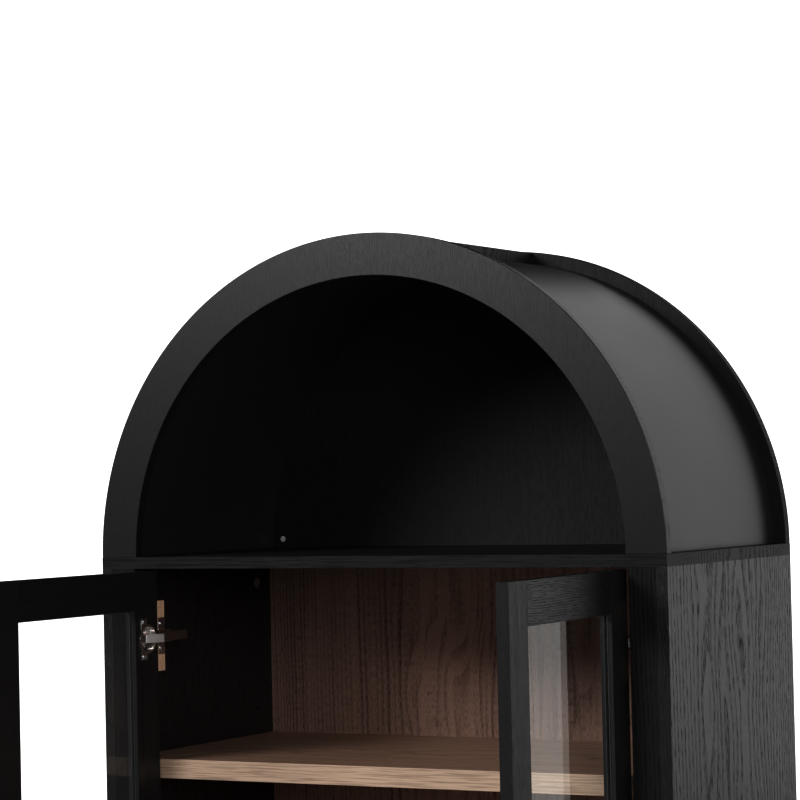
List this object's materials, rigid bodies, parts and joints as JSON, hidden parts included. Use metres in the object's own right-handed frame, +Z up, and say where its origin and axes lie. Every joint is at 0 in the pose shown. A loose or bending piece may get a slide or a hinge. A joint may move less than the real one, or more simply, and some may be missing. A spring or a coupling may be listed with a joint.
{
  "type": "curio cabinet",
  "caption": "Tall cupboard with a half-round open display niche on top, glazed doors on concealed hinges and adjustable shelves behind them.",
  "frame": {"origin": "on the floor under the centre of the cabinet's footprint, on the underside of the centre foot", "axes": "+Z up, the doors and the open niche face -Y, +X is to the right of someone who faces the doors"},
  "size_m": [0.8, 0.7308, 1.7999],
  "materials": {
    "black_oak_laminate": "satin, embossed oak grain",
    "black_curved_shell": "smooth satin",
    "oak_laminate": "matt oak grain",
    "clear_glass": "clear float glass",
    "glazing_seal": "satin",
    "nickel_hinge": "nickel plated",
    "zinc_fixings": "zinc plated",
    "raw_wood": "raw sawn",
    "black_metal": "satin powder coat",
    "grey_plastic": "matt"
  },
  "bodies": {
    "root": {"back_arch_panel": "black_oak_laminate", "back_panel": "oak_laminate", "bottom_panel": "black_oak_laminate", "cam_bolts": "zinc_fixings", "cam_locks": "zinc_fixings", "centre_foot": "grey_plastic", "divider_board": "black_oak_laminate", "floor_glides": "grey_plastic", "front_arch_ring": "black_oak_laminate", "hinge_block_screws": "zinc_fixings", "hinge_plate_screws": "zinc_fixings", "joining_dowels": "raw_wood", "left_curved_shell": "black_curved_shell", "left_face_stile": "black_oak_laminate", "left_hinge_arms": "nickel_hinge", "left_hinge_blocks": "raw_wood", "left_hinge_plates": "nickel_hinge", "left_side_panel": "black_oak_laminate", "niche_screw_caps": "grey_plastic", "plinth_front": "black_oak_laminate", "plinth_rear": "black_oak_laminate", "ridge_batten": "black_oak_laminate", "ridge_screws": "zinc_fixings", "right_curved_shell": "black_curved_shell", "right_face_stile": "black_oak_laminate", "right_hinge_arms": "nickel_hinge", "right_hinge_blocks": "raw_wood", "right_hinge_plates": "nickel_hinge", "right_side_panel": "black_oak_laminate", "shelf_1": "oak_laminate", "shelf_2": "oak_laminate", "shelf_3": "oak_laminate", "shelf_4": "oak_laminate", "shelf_pins": "zinc_fixings"},
    "left_door": {"left_door_hinge_stile": "black_oak_laminate", "left_door_free_stile": "black_oak_laminate", "left_door_top_rail": "black_oak_laminate", "left_door_bottom_rail": "black_oak_laminate", "left_door_glass": "clear_glass", "left_door_seal": "glazing_seal", "left_door_pull": "black_metal", "left_hinge_cups": "nickel_hinge", "left_cup_screws": "zinc_fixings", "left_pull_screws": "zinc_fixings"},
    "right_door": {"right_door_hinge_stile": "black_oak_laminate", "right_door_free_stile": "black_oak_laminate", "right_door_top_rail": "black_oak_laminate", "right_door_bottom_rail": "black_oak_laminate", "right_door_glass": "clear_glass", "right_door_seal": "glazing_seal", "right_door_pull": "black_metal", "right_hinge_cups": "nickel_hinge", "right_cup_screws": "zinc_fixings", "right_pull_screws": "zinc_fixings"},
    "left_links": {"left_hinge_links": "nickel_hinge"},
    "right_links": {"right_hinge_links": "nickel_hinge"}
  },
  "joints": [
    {"name": "left_door_swing", "type": "hinge", "parent": "root", "child": "left_door", "pos_m": [-0.3367, -0.1955, 0], "axis": [0, 0, 1], "range_deg": [-15, 90]},
    {"name": "right_door_swing", "type": "hinge", "parent": "root", "child": "right_door", "pos_m": [0.3367, -0.1955, 0], "axis": [0, 0, -1], "range_deg": [-12, 93]},
    {"name": "left_links_swing", "type": "hinge", "parent": "root", "child": "left_links", "pos_m": [-0.342, -0.175, 0], "axis": [0, 0, 1], "range_deg": [-6, 35]},
    {"name": "right_links_swing", "type": "hinge", "parent": "root", "child": "right_links", "pos_m": [0.342, -0.175, 0], "axis": [0, 0, -1], "range_deg": [-5, 36]}
  ],
  "couplings": [
    {"joint": "left_links_swing", "follows": "left_door_swing", "ratio": 0.385},
    {"joint": "right_links_swing", "follows": "right_door_swing", "ratio": 0.385}
  ]
}
